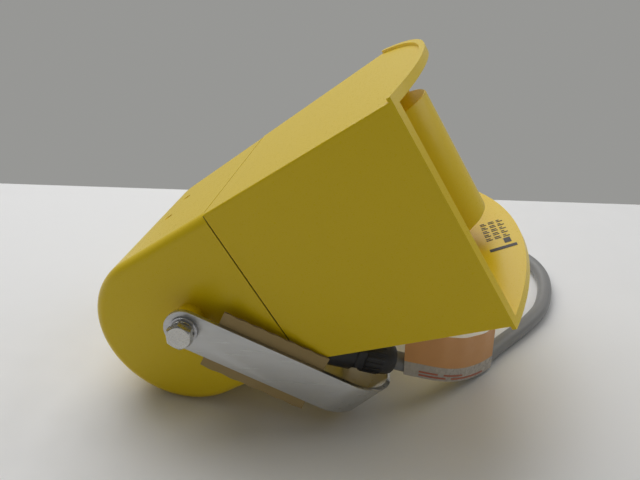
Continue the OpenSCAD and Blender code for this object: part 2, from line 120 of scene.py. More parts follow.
def applied(piece):
    graph = bpy.context.evaluated_depsgraph_get()
    mesh = bpy.data.meshes.new_from_object(piece.evaluated_get(graph))
    piece.modifiers.clear()
    old = piece.data
    piece.data = mesh
    mesh.name = piece.name
    if old.users == 0:
        bpy.data.meshes.remove(old)
    return piece


def joined(name, pieces):
    bm = bmesh.new()
    for p in pieces:
        bm.from_mesh(p.data)
    mesh = bpy.data.meshes.new(name)
    bm.to_mesh(mesh)
    bm.free()
    for p in pieces:
        bpy.data.objects.remove(p)
    return objectFrom(name, mesh)


def cadCopy(node, name):
    mesh = cad[node].data.copy()
    mesh.materials.clear()
    made = objectFrom(name, mesh)
    bm = bmesh.new()
    bm.from_mesh(mesh)
    bmesh.ops.remove_doubles(bm, verts=bm.verts, dist=2e-6)
    bmesh.ops.dissolve_limit(bm, angle_limit=math.radians(0.4), verts=bm.verts, edges=bm.edges)
    for e in bm.edges:
        e.smooth = True
    bm.to_mesh(mesh)
    bm.free()
    for old in [a.name for a in mesh.attributes if a.name.startswith("custom_normal")]:
        mesh.attributes.remove(mesh.attributes[old])
    return made


def bevelled(piece, width, segments=3, angle=32, weights=None):
    mod = piece.modifiers.new("round", "BEVEL")
    mod.width = width
    mod.segments = segments
    mod.harden_normals = False
    mod.miter_outer = "MITER_ARC"
    if weights:
        mod.limit_method = "WEIGHT"
        attr = piece.data.attributes.get("bevel_weight_edge")
        attr = attr or piece.data.attributes.new("bevel_weight_edge", "FLOAT", "EDGE")
        verts = piece.data.vertices
        attr.data.foreach_set("value", [weights(verts[e.vertices[0]].co, verts[e.vertices[1]].co)
                                        for e in piece.data.edges])
    else:
        mod.limit_method = "ANGLE"
        mod.angle_limit = math.radians(angle)
    applied(piece)
    return piece


def evenShading(piece):     # keeps the big flat faces flat beside their rounded edges
    mod = piece.modifiers.new("even", "WEIGHTED_NORMAL")
    mod.keep_sharp = True
    mod.weight = 80
    applied(piece)


def standing(origin, axis):     # stands a part made along Z on the origin, along the axis
    turn = axis.to_track_quat("Z", "Y").to_matrix().to_4x4()
    turn.translation = origin
    return turn


def bandFaces(rings, count):     # the quads between each ring of points and the next
    return [(i * count + k, i * count + (k + 1) % count, (i + 1) * count + (k + 1) % count, (i + 1) * count + k)
            for i in range(rings - 1) for k in range(count)]


def capFaces(rings, count):     # the two ends of a stack of rings
    last = (rings - 1) * count
    return [tuple(range(count))[::-1], tuple(last + k for k in range(count))]


def circle(radius, z, count):     # a ring of points round the Z axis
    angles = [2 * math.pi * k / count for k in range(count)]
    return [Vector((radius * math.cos(ang), radius * math.sin(ang), z)) for ang in angles]


def lathe(name, profile, origin, axis, steps=64):     # the profile is (distance along the axis, radius)
    turn = standing(origin, axis)
    verts = [turn @ v for z, r in profile for v in circle(r, z, steps)]
    return pieceFrom(name, verts, bandFaces(len(profile), steps))


def sweep(name, points, radius, sides):
    verts = []
    side = None
    for i, p in enumerate(points):
        ahead = (points[min(i + 1, len(points) - 1)] - points[max(i - 1, 0)]).normalized()
        side = Vector((0, 0, 1)).cross(ahead).normalized() if side is None \
            else (side - ahead * side.dot(ahead)).normalized()
        high = ahead.cross(side)
        for k in range(sides):
            ang = 2 * math.pi * k / sides
            verts.append(p + (side * math.cos(ang) + high * math.sin(ang)) * radius)
    return pieceFrom(name, verts, bandFaces(len(points), sides) + capFaces(len(points), sides))


def smoothRoute(points, steps):     # a curve through every point, with a few steps between neighbours
    out = []
    for i in range(len(points) - 1):
        a, b = points[max(i - 1, 0)], points[i]
        c, d = points[i + 1], points[min(i + 2, len(points) - 1)]
        for k in range(steps):
            t = k / steps
            out.append(0.5 * (2 * b + (c - a) * t + (2 * a - 5 * b + 4 * c - d) * t * t
                              + (3 * b - a - 3 * c + d) * t * t * t))
    out.append(points[-1])
    return out


def place(piece, body, material, *replaced):
    piece.data.materials.clear()
    piece.data.materials.append(material)
    if replaced:
        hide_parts(*replaced)
    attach(piece, body)
    return piece


def socket(group, name, kind, direction, default=None):
    made = group.interface.new_socket(name=name, in_out=direction, socket_type=kind)
    if default is not None:
        made.default_value = default
    return made


def mottleGroup():
    g = bpy.data.node_groups.new("mottle", "ShaderNodeTree")
    socket(g, "Light", "NodeSocketColor", "INPUT", (0.8, 0.8, 0.8, 1))
    socket(g, "Dark", "NodeSocketColor", "INPUT", (0.5, 0.5, 0.5, 1))
    socket(g, "Patch Scale", "NodeSocketFloat", "INPUT", 20)
    socket(g, "Grain Scale", "NodeSocketFloat", "INPUT", 400)
    socket(g, "Low Rough", "NodeSocketFloat", "INPUT", 0.3)
    socket(g, "High Rough", "NodeSocketFloat", "INPUT", 0.5)
    socket(g, "Stretch", "NodeSocketVector", "INPUT", (1, 1, 1))
    socket(g, "Turn", "NodeSocketVector", "INPUT", (0, 0, 0))
    socket(g, "Color", "NodeSocketColor", "OUTPUT")
    socket(g, "Roughness", "NodeSocketFloat", "OUTPUT")
    socket(g, "Height", "NodeSocketFloat", "OUTPUT")
    n, link = g.nodes, g.links.new
    inp, out = n.new("NodeGroupInput"), n.new("NodeGroupOutput")
    coords = n.new("ShaderNodeTexCoord")
    mapping = n.new("ShaderNodeMapping")
    link(coords.outputs["Object"], mapping.inputs["Vector"])
    link(inp.outputs["Turn"], mapping.inputs["Rotation"])
    link(inp.outputs["Stretch"], mapping.inputs["Scale"])
    patches = n.new("ShaderNodeTexNoise")
    patches.inputs["Detail"].default_value = 4
    link(mapping.outputs["Vector"], patches.inputs["Vector"])
    link(inp.outputs["Patch Scale"], patches.inputs["Scale"])
    grain = n.new("ShaderNodeTexNoise")
    grain.inputs["Detail"].default_value = 3
    link(mapping.outputs["Vector"], grain.inputs["Vector"])
    link(inp.outputs["Grain Scale"], grain.inputs["Scale"])
    mix = n.new("ShaderNodeMix")
    mix.data_type = "RGBA"
    link(patches.outputs["Fac"], mix.inputs[0])
    link(inp.outputs["Dark"], mix.inputs[6])
    link(inp.outputs["Light"], mix.inputs[7])
    rough = n.new("ShaderNodeMapRange")
    rough.inputs["From Min"].default_value = 0.3
    rough.inputs["From Max"].default_value = 0.7
    link(grain.outputs["Fac"], rough.inputs["Value"])
    link(inp.outputs["Low Rough"], rough.inputs["To Min"])
    link(inp.outputs["High Rough"], rough.inputs["To Max"])
    link(mix.outputs[2], out.inputs["Color"])
    link(rough.outputs["Result"], out.inputs["Roughness"])
    link(grain.outputs["Fac"], out.inputs["Height"])
    return g


mottle = mottleGroup()


def surface(name, light, dark, patch=20, grain=400, rough=(0.3, 0.5), bump=0.1, depth=0.0002,
            metal=0.0, coat=0.0, specular=0.5, stretch=(1, 1, 1), turn=(0, 0, 0)):
    m = bpy.data.materials.new(name)
    m.use_nodes = True
    n, link = m.node_tree.nodes, m.node_tree.links.new
    shader = n["Principled BSDF"]
    g = n.new("ShaderNodeGroup")
    g.node_tree = mottle
    g.inputs["Light"].default_value = (*light, 1)
    g.inputs["Dark"].default_value = (*dark, 1)
    g.inputs["Patch Scale"].default_value = patch
    g.inputs["Grain Scale"].default_value = grain
    g.inputs["Low Rough"].default_value = rough[0]
    g.inputs["High Rough"].default_value = rough[1]
    g.inputs["Stretch"].default_value = stretch
    g.inputs["Turn"].default_value = turn
    link(g.outputs["Color"], shader.inputs["Base Color"])
    link(g.outputs["Roughness"], shader.inputs["Roughness"])
    if bump:
        b = n.new("ShaderNodeBump")
        b.inputs["Strength"].default_value = bump
        b.inputs["Distance"].default_value = depth
        link(g.outputs["Height"], b.inputs["Height"])
        link(b.outputs["Normal"], shader.inputs["Normal"])
    shader.inputs["Metallic"].default_value = metal
    shader.inputs["Coat Weight"].default_value = coat
    shader.inputs["Coat Roughness"].default_value = 0.12
    shader.inputs["Specular IOR Level"].default_value = specular
    return m


armTurn = (0, math.radians(-17), 0)     # lines the brushing up with the bracket's arms
finishes = {
    "yellow_shell": surface("yellow_shell", (0.86, 0.62, 0.006), (0.84, 0.60, 0.005), patch=9, grain=1400,
                            rough=(0.26, 0.34), bump=0.02, depth=0.00005, specular=0.3),
    "satin_strip": surface("satin_strip", (0.60, 0.60, 0.59), (0.50, 0.50, 0.49), patch=14, grain=260,
                           rough=(0.26, 0.42), bump=0.12, depth=0.00005, metal=1.0,
                           stretch=(0.12, 3, 3), turn=armTurn),
    "bolt_steel": surface("bolt_steel", (0.66, 0.65, 0.62), (0.50, 0.49, 0.46), patch=120, grain=700,
                          rough=(0.16, 0.34), bump=0.08, depth=0.00005, metal=1.0),
    "kraft_board": surface("kraft_board", (0.46, 0.33, 0.145), (0.38, 0.27, 0.11), patch=60, grain=900,
                           rough=(0.8, 0.95), bump=0.3, depth=0.0001, stretch=(1, 1, 2.5)),
    "black_nylon": surface("black_nylon", (0.022, 0.022, 0.024), (0.012, 0.012, 0.013), patch=60, grain=900,
                           rough=(0.4, 0.55), bump=0.1, depth=0.0001),
    "black_rubber": surface("black_rubber", (0.02, 0.02, 0.02), (0.012, 0.012, 0.012), patch=60,
                            rough=(0.65, 0.8), bump=0.1),
    "grey_sheath": surface("grey_sheath", (0.235, 0.235, 0.235), (0.205, 0.205, 0.205), patch=70, grain=1100,
                           rough=(0.38, 0.5), bump=0.1, depth=0.0001),
    # the tag's peach film is darkened and turned orange: painted shade and painted yellow light bounced from
    # the housing, over its own paler peach
    "peach_film": surface("peach_film", (0.68, 0.34, 0.12), (0.60, 0.29, 0.10), patch=60, grain=500,
                          rough=(0.3, 0.45), bump=0.08, specular=0.3),
    "clear_film": surface("clear_film", (0.46, 0.42, 0.37), (0.36, 0.33, 0.29), patch=90, grain=300,
                          rough=(0.2, 0.35), bump=0.15, coat=0.2),
    "print_black": surface("print_black", (0.018, 0.016, 0.014), (0.03, 0.026, 0.02), patch=200, grain=900,
                           rough=(0.4, 0.55), bump=0.05),
    "print_rust": surface("print_rust", (0.45, 0.12, 0.06), (0.38, 0.10, 0.05), patch=200, grain=900,
                          rough=(0.4, 0.55), bump=0.05),
    "plated_steel": surface("plated_steel", (0.62, 0.62, 0.64), (0.48, 0.48, 0.5), patch=80, grain=600,
                            rough=(0.28, 0.42), bump=0.06, metal=1.0),
    "cast_alloy": surface("cast_alloy", (0.55, 0.56, 0.57), (0.42, 0.43, 0.44), patch=60, grain=500,
                          rough=(0.4, 0.6), bump=0.25, metal=1.0),
    "ferrite": surface("ferrite", (0.06, 0.06, 0.065), (0.035, 0.035, 0.038), patch=90, grain=600,
                       rough=(0.5, 0.7), bump=0.2),
    "brass": surface("brass", (0.75, 0.56, 0.24), (0.62, 0.44, 0.18), patch=90, rough=(0.25, 0.4), metal=1.0),
    "copper_wire": surface("copper_wire", (0.72, 0.32, 0.14), (0.6, 0.25, 0.1), patch=300,
                           rough=(0.25, 0.4), metal=1.0),
    "resin_film": surface("resin_film", (0.50, 0.36, 0.18), (0.42, 0.29, 0.14), patch=70, rough=(0.35, 0.5)),
    "board_green": surface("board_green", (0.02, 0.20, 0.075), (0.015, 0.16, 0.06), patch=150, grain=1200,
                           rough=(0.3, 0.45), coat=0.3),
    "sleeve_blue": surface("sleeve_blue", (0.03, 0.05, 0.13), (0.025, 0.04, 0.1), rough=(0.2, 0.35)),
    "moulded_blue": surface("moulded_blue", (0.03, 0.12, 0.36), (0.025, 0.1, 0.3), rough=(0.35, 0.5)),
    "moulded_white": surface("moulded_white", (0.8, 0.8, 0.76), (0.74, 0.74, 0.7), rough=(0.35, 0.5)),
    "aluminium_fin": surface("aluminium_fin", (0.72, 0.73, 0.74), (0.6, 0.61, 0.62), patch=60,
                             rough=(0.3, 0.5), metal=1.0),
}
print("finishes made:", len(finishes))


def geometryTree(name, inputs):
    tree = bpy.data.node_groups.new(name, "GeometryNodeTree")
    tree.interface.new_socket(name="Geometry", in_out="INPUT", socket_type="NodeSocketGeometry")
    for label, kind, value in inputs:
        made = tree.interface.new_socket(name=label, in_out="INPUT", socket_type=kind)
        if value is not None:
            made.default_value = value
    tree.interface.new_socket(name="Geometry", in_out="OUTPUT", socket_type="NodeSocketGeometry")
    return tree, tree.nodes.new("NodeGroupInput"), tree.nodes.new("NodeGroupOutput")


def finishTree(tree, made, inp, out):     # realises what was made and gives it its material
    n, link = tree.nodes, tree.links.new
    real = n.new("GeometryNodeRealizeInstances")
    link(made, real.inputs["Geometry"])
    paint = n.new("GeometryNodeSetMaterial")
    link(real.outputs["Geometry"], paint.inputs["Geometry"])
    link(inp.outputs["Material"], paint.inputs["Material"])
    link(paint.outputs["Geometry"], out.inputs["Geometry"])
    return tree


def runTree(name, tree, values, start=None):
    piece = start or objectFrom(name, bpy.data.meshes.new(name))
    mod = piece.modifiers.new("grow", "NODES")
    mod.node_group = tree
    for item in tree.interface.items_tree:
        if item.in_out == "INPUT" and item.name in values:
            mod[item.identifier] = values[item.name]
    return applied(piece)


def ribTree():
    tree, inp, out = geometryTree("ribRing", [
        ("Count", "NodeSocketInt", 16), ("Radius", "NodeSocketFloat", 0.01),
        ("Rib Width", "NodeSocketFloat", 0.001), ("Rib Depth", "NodeSocketFloat", 0.001),
        ("Rib Length", "NodeSocketFloat", 0.01), ("Material", "NodeSocketMaterial", None)])
    n, link = tree.nodes, tree.links.new
    ring = n.new("GeometryNodeMeshCircle")
    link(inp.outputs["Count"], ring.inputs["Vertices"])
    link(inp.outputs["Radius"], ring.inputs["Radius"])
    size = n.new("ShaderNodeCombineXYZ")
    link(inp.outputs["Rib Depth"], size.inputs["X"])
    link(inp.outputs["Rib Width"], size.inputs["Y"])
    link(inp.outputs["Rib Length"], size.inputs["Z"])
    rib = n.new("GeometryNodeMeshCube")
    link(size.outputs["Vector"], rib.inputs["Size"])
    rib.inputs["Vertices Z"].default_value = 2
    where = n.new("GeometryNodeInputPosition")
    turn = n.new("FunctionNodeAlignRotationToVector")
    turn.axis = "X"
    turn.pivot_axis = "Z"
    link(where.outputs["Position"], turn.inputs["Vector"])
    put = n.new("GeometryNodeInstanceOnPoints")
    link(ring.outputs["Mesh"], put.inputs["Points"])
    link(rib.outputs["Mesh"], put.inputs["Instance"])
    link(turn.outputs["Rotation"], put.inputs["Rotation"])
    return finishTree(tree, put.outputs["Instances"], inp, out)


def fluteTree():
    tree, inp, out = geometryTree("fluteSheet", [
        ("Length", "NodeSocketFloat", 0.06), ("Width", "NodeSocketFloat", 0.04),
        ("Height", "NodeSocketFloat", 0.001), ("Paper", "NodeSocketFloat", 0.0002),
        ("Flutes", "NodeSocketFloat", 20), ("Steps", "NodeSocketInt", 200),
        ("Material", "NodeSocketMaterial", None)])
    n, link = tree.nodes, tree.links.new
    end = n.new("ShaderNodeCombineXYZ")
    link(inp.outputs["Length"], end.inputs["X"])
    line = n.new("GeometryNodeCurvePrimitiveLine")
    link(end.outputs["Vector"], line.inputs["End"])
    fine = n.new("GeometryNodeResampleCurve")
    link(line.outputs["Curve"], fine.inputs["Curve"])
    link(inp.outputs["Steps"], fine.inputs["Count"])
    along = n.new("GeometryNodeSplineParameter")
    wave = n.new("ShaderNodeMath")
    wave.operation = "MULTIPLY"
    link(along.outputs["Factor"], wave.inputs[0])
    link(inp.outputs["Flutes"], wave.inputs[1])
    turns = n.new("ShaderNodeMath")
    turns.operation = "MULTIPLY"
    turns.inputs[1].default_value = 2 * math.pi
    link(wave.outputs[0], turns.inputs[0])
    sine = n.new("ShaderNodeMath")
    sine.operation = "SINE"
    link(turns.outputs[0], sine.inputs[0])
    half = n.new("ShaderNodeMath")
    half.operation = "MULTIPLY"
    half.inputs[1].default_value = 0.5
    link(inp.outputs["Height"], half.inputs[0])
    rise = n.new("ShaderNodeMath")
    rise.operation = "MULTIPLY"
    link(sine.outputs[0], rise.inputs[0])
    link(half.outputs[0], rise.inputs[1])
    lift = n.new("ShaderNodeCombineXYZ")
    link(rise.outputs[0], lift.inputs["Z"])
    move = n.new("GeometryNodeSetPosition")
    link(fine.outputs["Curve"], move.inputs["Geometry"])
    link(lift.outputs["Vector"], move.inputs["Offset"])
    strip = n.new("GeometryNodeCurvePrimitiveQuadrilateral")
    link(inp.outputs["Width"], strip.inputs["Width"])
    link(inp.outputs["Paper"], strip.inputs["Height"])
    skin = n.new("GeometryNodeCurveToMesh")
    skin.inputs["Fill Caps"].default_value = True
    link(move.outputs["Geometry"], skin.inputs["Curve"])
    link(strip.outputs["Curve"], skin.inputs["Profile Curve"])
    return finishTree(tree, skin.outputs["Mesh"], inp, out)


def copiesTree():
    tree, inp, out = geometryTree("copiesOnPoints", [
        ("Part", "NodeSocketObject", None), ("Material", "NodeSocketMaterial", None)])
    n, link = tree.nodes, tree.links.new
    part = n.new("GeometryNodeObjectInfo")
    link(inp.outputs["Part"], part.inputs["Object"])
    put = n.new("GeometryNodeInstanceOnPoints")
    link(inp.outputs["Geometry"], put.inputs["Points"])
    link(part.outputs["Geometry"], put.inputs["Instance"])
    return finishTree(tree, put.outputs["Instances"], inp, out)


lead = {"diameter": 0.011, "sides": 28, "steps": 8, "core": 0.0009, "coreLength": 0.030, "bare": 0.008,
        "fan": 5, "pitch": 0.002, "drop": 0.0015, "segments": 8, "colours": {
            "core_red": (0.45, 0.03, 0.02), "core_black": (0.02, 0.02, 0.02), "core_white": (0.7, 0.7, 0.68),
            "core_green": (0.03, 0.22, 0.06), "core_blue": (0.03, 0.08, 0.35)}}
leadRoute = [Vector(p) * mm for p in (
    (48, -72, 36.5), (59.5, -68.5, 31.5), (70.5, -62.5, 25), (80.5, -54.5, 18.5), (90.5, -44.5, 13),
    (101, -32.5, 8.6), (111, -20, 6.3), (121, -7, 5.6), (132, 6, 5.6), (143, 19, 5.6), (154, 33, 5.6),
    (165, 50, 5.6), (173, 69, 5.6), (179, 90, 5.6), (182, 112, 5.6), (180, 134, 5.6), (172, 154, 5.6),
    (158, 169, 5.6), (138, 178, 5.6), (115, 181, 5.6), (90, 181, 5.6), (65, 180, 5.6), (40, 179, 5.6),
    (16, 178, 5.6))]


def makeLead():
    path = smoothRoute(leadRoute, lead["steps"])
    sheath = sweep("flying_lead", path, lead["diameter"] / 2, lead["sides"])
    place(sheath, "horn", finishes["grey_sheath"], "cable")
    length = sum((b - a).length for a, b in zip(path, path[1:]))
    ahead = (leadRoute[-1] - leadRoute[-2]).normalized()
    side = Vector((0, 0, 1)).cross(ahead).normalized()
    segments = lead["segments"]
    bared = int(segments * (1 - lead["bare"] / lead["coreLength"]))     # where the sleeve of a core ends
    cores = []
    for k, (name, colour) in enumerate(lead["colours"].items()):
        finish = surface(name, colour, tuple(0.8 * c for c in colour), patch=90, rough=(0.3, 0.45))
        fan = math.radians(lead["fan"] * (k - 2))
        run = ahead * math.cos(fan) + side * math.sin(fan)
        start = leadRoute[-1] + side * (lead["pitch"] * (k - 2)) - Vector((0, 0, lead["drop"]))
        line = [start + run * (lead["coreLength"] * i / segments) for i in range(segments + 1)]
        cores.append(place(sweep(name, line[:bared + 1], lead["core"], 12), "horn", finish))
        tip = sweep(name + "_tip", [line[bared], line[-1]], lead["core"] * 0.7, 10)
        cores.append(place(tip, "horn", finishes["copper_wire"]))
    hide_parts("cable_cores")
    return sheath, path, length, cores


sheath, leadPath, leadLength, leadCores = makeLead()
print("lead swept, length", round(leadLength, 4))

# the bars are generic print, each a height and its first and last step along the tag
tag = {"first": 4, "last": 48, "high": 0.026, "low": 0.0048, "fold": 0.0045, "gap": 0.0002, "rows": 10,
       "ripple": 0.00025, "inner": 0.00012, "paper": 0.00052, "wrap": 0.00055, "bar": 0.0011, "ink": 0.00015,
       "bars": ((-0.0012, 5, 13), (-0.0034, 5, 17), (-0.0012, 16, 26), (-0.0034, 20, 38))}


def makeTag():
    ring = leadPath[tag["first"]:tag["last"] + 1]

    def sideAt(i):
        j = i + tag["first"]
        ahead = (leadPath[min(j + 1, len(leadPath) - 1)] - leadPath[max(j - 1, 0)]).normalized()
        return -Vector((0, 0, 1)).cross(ahead).normalized()

    def skinPoint(i, rise, out):
        share = max(0.0, rise) / tag["high"]
        wave = tag["ripple"] * math.sin(0.55 * i) * share      # a slight ripple towards the free edge
        return ring[i] + sideAt(i) * (lead["diameter"] / 2 + tag["gap"] + out + wave) + Vector((0, 0, rise))

    def flag(name, low, high, inner, outer, first=0, last=None):
        last = len(ring) - 1 if last is None else last
        verts, faces = [], []
        rows = tag["rows"]
        for out in (inner, outer):
            for i in range(first, last + 1):
                for k in range(rows + 1):
                    verts.append(skinPoint(i, low + (high - low) * k / rows, out))
        cols = last - first + 1
        size = cols * (rows + 1)
        for i in range(cols - 1):
            for k in range(rows):
                a = i * (rows + 1) + k
                b = a + rows + 1
                faces += [(a, b, b + 1, a + 1), (size + a, size + a + 1, size + b + 1, size + b)]
            for k in (0, rows):
                a = i * (rows + 1) + k
                b = a + rows + 1
                faces.append((a, b, size + b, size + a))
        for i in (0, cols - 1):
            for k in range(rows):
                a = i * (rows + 1) + k
                faces.append((a, a + 1, size + a + 1, size + a))
        return pieceFrom(name, verts, faces)

    # the paper flag takes the peach film, whose colour holds painted shade and painted yellow bounced light
    paper = place(flag("tag_paper", tag["fold"], tag["high"], tag["inner"], tag["paper"]),
                  "horn", finishes["peach_film"], "cable_tag")
    wrap = place(flag("tag_wrap", -tag["low"], tag["fold"], tag["inner"], tag["wrap"]),
                 "horn", finishes["clear_film"])
    marks = []
    for k, (rise, first, last) in enumerate(tag["bars"]):
        bar = flag(f"tag_bar_{k}", rise, rise + tag["bar"], tag["wrap"], tag["wrap"] + tag["ink"], first, last)
        marks.append(place(bar, "horn", finishes["print_rust"]))
    return [paper, wrap, *marks]


tagPieces = makeTag()
print("tag made")

# edge is the rounding of the long outer edges, and trim the fine one along all the others
shell = {"halfWidth": 0.0778, "flare": math.tan(math.radians(10.5)), "edge": 0.006, "lowEdge": 0.004,
         "seam": 0.063, "mouth": 0.173, "top": 0.049, "bottom": -0.0435, "drum": 0.0492, "trim": {
             "rear_shell": 0.0005, "bell_shell": 0.0009, "reflex_bulb": 0.0012, "bulb_ribs": 0.0006,
             "throat_horn": 0.0006}}


def onSide(p):     # on one of the two flared side walls
    b = toBody @ p
    return abs(abs(b.y) - (shell["halfWidth"] + b.x * shell["flare"])) < 0.0004


def shellWeight(p, q):     # how much of the wide rounding an edge gets
    if not (onSide(p) and onSide(q)) or p.y * q.y < 0:      # only edges that run along one side wall
        return 0.0
    a, b = toBody @ p, toBody @ q
    if abs(a.x - b.x) < 0.0008 and abs(a.z - b.z) > 0.02:      # an edge across the seam or mouth
        return 0.0
    mid = (a + b) / 2
    onDrum = mid.x < 0.005 and math.hypot(mid.x, mid.z) > shell["drum"]
    outside = mid.z > shell["top"] or mid.z < shell["bottom"] or onDrum
    if mid.x > shell["mouth"] - 0.001 or not outside:
        return 0.0
    if mid.x > shell["seam"] - 0.001 and mid.z < 0:
        return shell["lowEdge"] / shell["edge"]
    return 1.0


def makeShells():
    for node, name in (("rear_housing", "rear_shell"), ("horn_bell", "bell_shell"),
                       ("reflex_island", "reflex_bulb"), ("island_vanes", "bulb_ribs"),
                       ("inner_horn", "throat_horn")):
        piece = cadCopy(node, name)
        outer = node in ("rear_housing", "horn_bell")
        if outer:
            bevelled(piece, shell["edge"], segments=6, weights=shellWeight)
        bevelled(piece, shell["trim"][name], segments=3 if outer else 4, angle=38)
        shadeByAngle(piece, 30)
        evenShading(piece)
        place(piece, "horn", finishes["yellow_shell"], node)
        print(name, "triangles", sum(len(p.vertices) - 2 for p in piece.data.polygons))


makeShells()
print("shells made")

board = {"length": 0.062, "width": 0.038, "thick": 0.0012, "paper": 0.00022, "flutes": 19, "inset": 0.0005,
         "tilt": 41, "lean": 66, "steps": 24, "ragged": 0.0003}


def makeBracket():
    piece = cadCopy("bracket", "strip_bracket")
    bevelled(piece, 0.0005, segments=3, angle=38)
    shadeByAngle(piece, 30)
    place(piece, "bracket", finishes["satin_strip"], "bracket")


def liner(centre, run, cross, lift):     # one paper face of the board, its long edges a little ragged
    steps = board["steps"]
    verts, faces = [], []
    for level in (lift, lift - math.copysign(board["paper"], lift)):
        for i in range(steps + 1):
            for j in (-1, 1):
                edge = board["ragged"] * (math.sin(1.7 * i + lift * 1000) if j > 0 else math.cos(1.3 * i))
                across = j * (board["width"] / 2 - 0.0004) + edge
                along = board["length"] * (i / steps - 0.5)
                verts.append(centre + run * along + cross * across + left * level)
    size = 2 * (steps + 1)
    for i in range(steps):
        a = 2 * i
        faces += [(a, a + 1, a + 3, a + 2), (size + a, size + a + 2, size + a + 3, size + a + 1),
                  (a, a + 2, size + a + 2, size + a), (a + 1, size + a + 1, size + a + 3, a + 3)]
    faces += [(0, size, size + 1, 1), (2 * steps, 2 * steps + 1, size + 2 * steps + 1, size + 2 * steps)]
    return pieceFrom("liner", verts, faces)


def makeBoards():
    tree = fluteTree()
    tilt, lean = math.radians(board["tilt"]), math.radians(board["lean"])
    down = Vector((math.sin(tilt), 0, -math.cos(tilt)))     # square to the bracket's base
    ahead = Vector((math.cos(tilt), 0, math.sin(tilt)))
    run = (down * math.sin(lean) + ahead * math.cos(lean)).normalized()     # along the bracket's arm
    cross = run.cross(left).normalized()
    for node, name in (("packing_pad_near", "board_near"), ("packing_pad_far", "board_far")):
        low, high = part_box(node)
        centre = (low + high) / 2
        flutes = runTree("flutes", tree, {
            "Length": board["length"] - 2 * board["inset"], "Width": board["width"] - 2 * board["inset"],
            "Height": board["thick"] - 3 * board["paper"], "Paper": board["paper"],
            "Flutes": float(board["flutes"]), "Steps": board["flutes"] * 10,
            "Material": finishes["kraft_board"]})
        spot = Matrix((run, cross, left)).transposed().to_4x4()
        spot.translation = centre - run * (board["length"] / 2 - board["inset"])
        flutes.data.transform(spot)
        liners = [liner(centre, run, cross, s * board["thick"] / 2) for s in (-1, 1)]
        whole = joined(name, [flutes, *liners])
        outwards(whole)
        shadeByAngle(whole)
        place(whole, "bracket", finishes["kraft_board"], node)


makeBracket()
makeBoards()
print("bracket and boards made")

bolt = {"flats": 0.013, "head": 0.0053, "shank": 0.004, "length": 0.0276, "pitch": 0.00125, "thread": 0.00045}
spring = {"outer": 0.0068, "inner": 0.0043, "thick": 0.002, "gap": 14}


def hexHead(name, origin, axis, flats, height, steps=10):
    turn = standing(origin, axis)
    flat = flats / 2
    rim = flat * 0.97
    soft, dish = 0.0003, 0.00012     # the broken lower edge, and the slight hollow of the top
    count = 6 * steps
    rings = [[] for k in range(6)]
    for k in range(count):
        ang = 2 * math.pi * k / count
        r = flat / math.cos((ang + math.pi / 6) % (math.pi / 3) - math.pi / 6)
        drop = max(0.0, r - rim) * math.tan(math.radians(30))     # the chamfer that leaves arcs on the flats
        outline = ((r - soft, 0.0), (r, soft), (r, height - drop - 0.0001), (rim, height),
                   (flat * 0.78, height - dish), (flat * 0.05, height - dish))
        for ring, (radius, z) in zip(rings, outline):
            ring.append(turn @ Vector((radius * math.cos(ang), radius * math.sin(ang), z)))
    verts = [v for ring in rings for v in ring]
    return pieceFrom(name, verts, capFaces(len(rings), count) + bandFaces(len(rings), count))


def threadedShank(name, origin, axis, radius, length, pitch, steps=24):
    turn = standing(origin, axis)
    rows = int(length / pitch * 4)
    verts = []
    for i in range(rows + 1):
        for k in range(steps):
            ang = 2 * math.pi * k / steps
            phase = (i / 4 + k / steps) % 1
            r = radius - bolt["thread"] * abs(2 * phase - 1)
            verts.append(turn @ Vector((r * math.cos(ang), r * math.sin(ang), length * i / rows)))
    return pieceFrom(name, verts, bandFaces(rows + 1, steps) + capFaces(rows + 1, steps))


def splitWasher(name, origin, axis):
    turn = standing(origin, axis)
    steps = 60
    first = math.radians(spring["gap"] / 2)
    thick = spring["thick"] * 0.82
    lift = spring["thick"] - thick     # how far the coil climbs from one end to the other
    inner, outer = spring["inner"], spring["outer"]
    verts = []
    for i in range(steps + 1):
        t = i / steps
        ang = first + (2 * math.pi - 2 * first) * t
        for r, h in ((inner, 0), (outer, 0), (outer, thick), (inner, thick)):
            verts.append(turn @ Vector((r * math.cos(ang), r * math.sin(ang), lift * t + h)))
    return pieceFrom(name, verts, bandFaces(steps + 1, 4) + capFaces(steps + 1, 4))


def makeBolts():
    heads, springs = [], []
    lowBolt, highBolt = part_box("pivot_bolts")
    lowSpring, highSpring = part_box("spring_washers")
    for s in (-1, 1):
        axis = left * s
        tip = highBolt.y if s > 0 else -lowBolt.y
        seat = tip - bolt["head"]
        heads.append(hexHead("head", pivot + axis * seat, axis, bolt["flats"], bolt["head"]))
        start = pivot + axis * (seat + 0.0002 - bolt["length"])
        heads.append(threadedShank("shank", start, axis, bolt["shank"], bolt["length"], bolt["pitch"]))
        top = highSpring.y if s > 0 else -lowSpring.y
        springs.append(splitWasher("split", pivot + axis * (top - spring["thick"]), axis))
    whole = joined("hex_bolts", heads)
    shadeByAngle(whole)
    place(whole, "horn", finishes["bolt_steel"], "pivot_bolts")
    rings = joined("split_washers", springs)
    bevelled(rings, 0.0002, segments=2, angle=50)
    shadeByAngle(rings)
    place(rings, "horn", finishes["bolt_steel"], "spring_washers")
    plain = cadCopy("flat_washers", "plain_washers")
    bevelled(plain, 0.00015, segments=2, angle=50)
    shadeByAngle(plain)
    place(plain, "horn", finishes["plated_steel"], "flat_washers")


makeBolts()
print("bolts made")

gland = {"length": 0.026, "yaw": 15, "dip": 20, "ribs": 18, "ribRadius": 0.00975, "ribWidth": 0.0016,
         "ribDepth": 0.0012, "knurl": 0.0105, "knurlStart": 0.0072}


